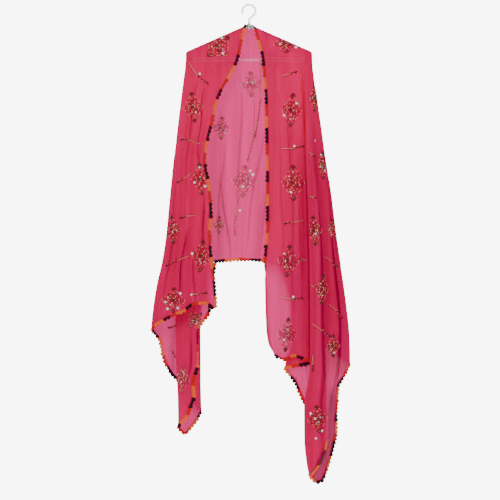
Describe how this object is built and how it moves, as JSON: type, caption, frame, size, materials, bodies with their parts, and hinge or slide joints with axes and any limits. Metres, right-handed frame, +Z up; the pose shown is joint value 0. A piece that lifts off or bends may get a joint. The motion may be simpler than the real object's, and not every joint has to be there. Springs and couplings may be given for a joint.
{
  "type": "dupatta stole on a hanger",
  "caption": "Sheer embroidered dupatta stole with crochet edging, draped over a slim tubular clothes hanger as an open-fronted wrap.",
  "frame": {"origin": "the point inside the top of the hanger's hook that rests on its rail", "axes": "+Z up, the front of the draped stole faces -Y, +X to the right seen from the front"},
  "size_m": [0.7178, 0.1318, 1.7177],
  "materials": {
    "chiffon": "sheer crimson-pink chiffon",
    "edging": "crochet in orange, red and black-maroon",
    "hanger_plastic": "satin white"
  },
  "bodies": {
    "root": {"hanger_hook": "hanger_plastic", "hanger_arm_left": "hanger_plastic", "hanger_arm_right": "hanger_plastic", "hanger_bar": "hanger_plastic", "left_front": "chiffon", "left_side": "chiffon", "left_fold": "chiffon", "left_inner": "chiffon", "back_panel": "chiffon", "right_inner": "chiffon", "right_fold": "chiffon", "right_side": "chiffon", "right_outer": "chiffon", "right_pleat": "chiffon", "right_under": "chiffon", "right_return": "chiffon", "right_front": "chiffon", "edging_neck": "edging", "edging_left_front": "edging", "edging_left_hem": "edging", "edging_left_tail": "edging", "edging_left_tip": "edging", "edging_left_return": "edging", "edging_back": "edging", "edging_right_back": "edging", "edging_right_outer": "edging", "edging_right_tail": "edging", "edging_right_hem": "edging", "edging_right_front": "edging"}
  },
  "joints": []
}
